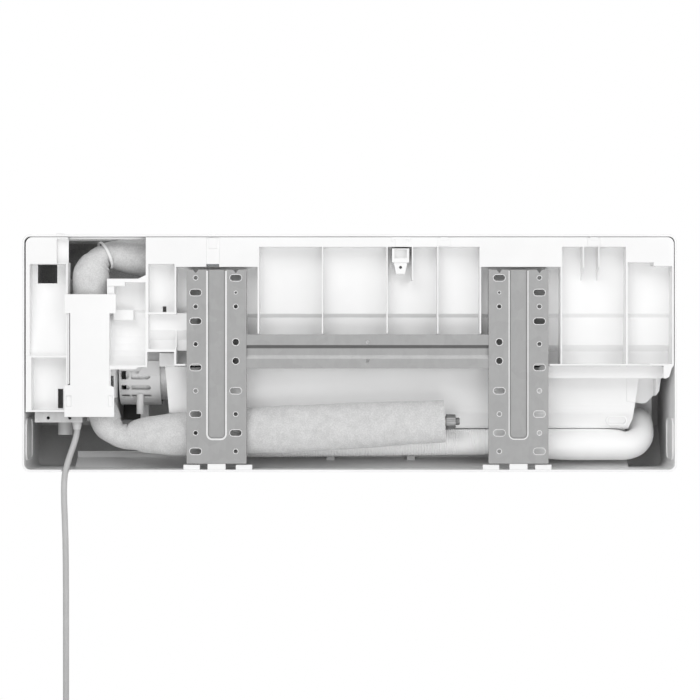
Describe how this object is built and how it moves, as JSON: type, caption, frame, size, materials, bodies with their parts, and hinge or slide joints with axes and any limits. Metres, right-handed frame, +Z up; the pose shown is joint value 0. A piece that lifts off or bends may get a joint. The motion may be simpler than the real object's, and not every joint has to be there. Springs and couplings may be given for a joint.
{
  "type": "air conditioner",
  "caption": "Indoor unit of a wall-mounted split air conditioner with its wall plate, insulated pipes, drain hose, cross-flow fan, louvre and mains lead.",
  "frame": {"origin": "middle of the wall plate's four large holes, on the wall face", "axes": "+X right seen from the wall side, +Y from the wall into the room, +Z up"},
  "size_m": [0.8, 0.198, 0.7284],
  "materials": {
    "casing_white": "satin",
    "chassis_white": "matte",
    "galvanised": "satin",
    "foam": "matte",
    "strap": "matte",
    "copper": "satin",
    "nut_brass": "satin",
    "hose": "satin",
    "fan_plastic": "matte",
    "steel": "satin",
    "black_rubber": "matte",
    "fins": "satin",
    "filter_frame": "matte",
    "lens": "gloss",
    "board": "satin",
    "block": "matte",
    "lead": "satin"
  },
  "bodies": {
    "unit": {"casing": "casing_white", "intake_grille": "casing_white", "chassis": "chassis_white", "pipe_cover": "casing_white", "plate_left": "galvanised", "plate_right": "galvanised", "plate_bar": "galvanised", "foam_upper": "foam", "foam_lower": "foam", "foam_tie": "strap", "gas_pipe": "copper", "liquid_pipe": "copper", "gas_nut": "nut_brass", "liquid_nut": "nut_brass", "drain_hose": "hose", "drain_hose_ribbed": "hose", "drain_pan": "chassis_white", "air_duct": "chassis_white", "fan_bearing": "black_rubber", "fan_motor": "galvanised", "motor_cover": "chassis_white", "coil_rear": "fins", "coil_upper": "fins", "coil_lower": "fins", "end_plate_left": "galvanised", "end_plate_right": "galvanised", "return_bends": "copper", "header_pipes": "copper", "louvre_motor": "galvanised", "control_box": "galvanised", "control_box_lid": "galvanised", "circuit_board": "board", "terminal_block": "block", "display_board": "board", "casing_screws": "galvanised", "room_sensor": "block", "wire_grommet": "black_rubber", "strain_relief": "lead", "power_cord": "lead", "cord_coil": "lead", "cord_tie": "black_rubber", "plug": "lead"},
    "panel": {"front_panel": "casing_white", "display_lens": "lens"},
    "fan": {"fan_rotor": "fan_plastic", "fan_shaft": "steel"},
    "louvre": {"louvre": "chassis_white"},
    "filter_left": {"filter_left": "filter_frame"},
    "filter_right": {"filter_right": "filter_frame"},
    "button": {"manual_button": "chassis_white"},
    "link_a": {"vane_link_a": "chassis_white"},
    "link_b": {"vane_link_b": "chassis_white"},
    "vane_a1": {"vane_a1": "chassis_white"},
    "vane_a2": {"vane_a2": "chassis_white"},
    "vane_a3": {"vane_a3": "chassis_white"},
    "vane_a4": {"vane_a4": "chassis_white"},
    "vane_b1": {"vane_b1": "chassis_white"},
    "vane_b2": {"vane_b2": "chassis_white"},
    "vane_b3": {"vane_b3": "chassis_white"},
    "vane_b4": {"vane_b4": "chassis_white"}
  },
  "joints": [
    {"name": "panel_hinge", "type": "hinge", "parent": "unit", "child": "panel", "pos_m": [-0.022, 0.1765, 0.1345], "axis": [1, 0, 0], "range_deg": [0, 60]},
    {"name": "fan_spin", "type": "hinge", "parent": "unit", "child": "fan", "pos_m": [0, 0.1, -0.025], "axis": [1, 0, 0], "continuous": true},
    {"name": "louvre_tilt", "type": "hinge", "parent": "unit", "child": "louvre", "pos_m": [0.049, 0.132, -0.1357], "axis": [-1, 0, 0], "range_deg": [0, 75]},
    {"name": "vane_a1_turn", "type": "hinge", "parent": "unit", "child": "vane_a1", "pos_m": [-0.165, 0.1085, -0.1158], "axis": [0, 0.7593, 0.6508], "range_deg": [-30.5, 30.5]},
    {"name": "vane_a2_turn", "type": "hinge", "parent": "unit", "child": "vane_a2", "pos_m": [-0.105, 0.1085, -0.1158], "axis": [0, 0.7593, 0.6508], "range_deg": [-30.5, 30.5]},
    {"name": "vane_a3_turn", "type": "hinge", "parent": "unit", "child": "vane_a3", "pos_m": [-0.045, 0.1085, -0.1158], "axis": [0, 0.7593, 0.6508], "range_deg": [-30.5, 30.5]},
    {"name": "vane_a4_turn", "type": "hinge", "parent": "unit", "child": "vane_a4", "pos_m": [0.015, 0.1085, -0.1158], "axis": [0, 0.7593, 0.6508], "range_deg": [-30.5, 30.5]},
    {"name": "link_a_slide", "type": "slide", "parent": "unit", "child": "link_a", "axis": [1, 0, 0], "range_m": [-0.00575, 0.00575]},
    {"name": "vane_b1_turn", "type": "hinge", "parent": "unit", "child": "vane_b1", "pos_m": [0.083, 0.1085, -0.1158], "axis": [0, 0.7593, 0.6508], "range_deg": [-30.5, 30.5]},
    {"name": "vane_b2_turn", "type": "hinge", "parent": "unit", "child": "vane_b2", "pos_m": [0.143, 0.1085, -0.1158], "axis": [0, 0.7593, 0.6508], "range_deg": [-30.5, 30.5]},
    {"name": "vane_b3_turn", "type": "hinge", "parent": "unit", "child": "vane_b3", "pos_m": [0.203, 0.1085, -0.1158], "axis": [0, 0.7593, 0.6508], "range_deg": [-30.5, 30.5]},
    {"name": "vane_b4_turn", "type": "hinge", "parent": "unit", "child": "vane_b4", "pos_m": [0.263, 0.1085, -0.1158], "axis": [0, 0.7593, 0.6508], "range_deg": [-30.5, 30.5]},
    {"name": "link_b_slide", "type": "slide", "parent": "unit", "child": "link_b", "axis": [1, 0, 0], "range_m": [-0.00575, 0.00575]},
    {"name": "filter_left_pull", "type": "slide", "parent": "unit", "child": "filter_left", "axis": [0, 0, 1], "range_m": [0, 0.1]},
    {"name": "filter_right_pull", "type": "slide", "parent": "unit", "child": "filter_right", "axis": [0, 0, 1], "range_m": [0, 0.1]},
    {"name": "button_press", "type": "slide", "parent": "unit", "child": "button", "axis": [0, 1, 0], "range_m": [-0.001, 0], "stiffness_N_per_m": 300, "springref_m": 0.001}
  ],
  "couplings": [
    {"joint": "vane_a1_turn", "follows": "link_a_slide", "rad_per_m": 90.909},
    {"joint": "vane_a2_turn", "follows": "link_a_slide", "rad_per_m": 90.909},
    {"joint": "vane_a3_turn", "follows": "link_a_slide", "rad_per_m": 90.909},
    {"joint": "vane_a4_turn", "follows": "link_a_slide", "rad_per_m": 90.909},
    {"joint": "vane_b1_turn", "follows": "link_b_slide", "rad_per_m": 90.909},
    {"joint": "vane_b2_turn", "follows": "link_b_slide", "rad_per_m": 90.909},
    {"joint": "vane_b3_turn", "follows": "link_b_slide", "rad_per_m": 90.909},
    {"joint": "vane_b4_turn", "follows": "link_b_slide", "rad_per_m": 90.909}
  ]
}
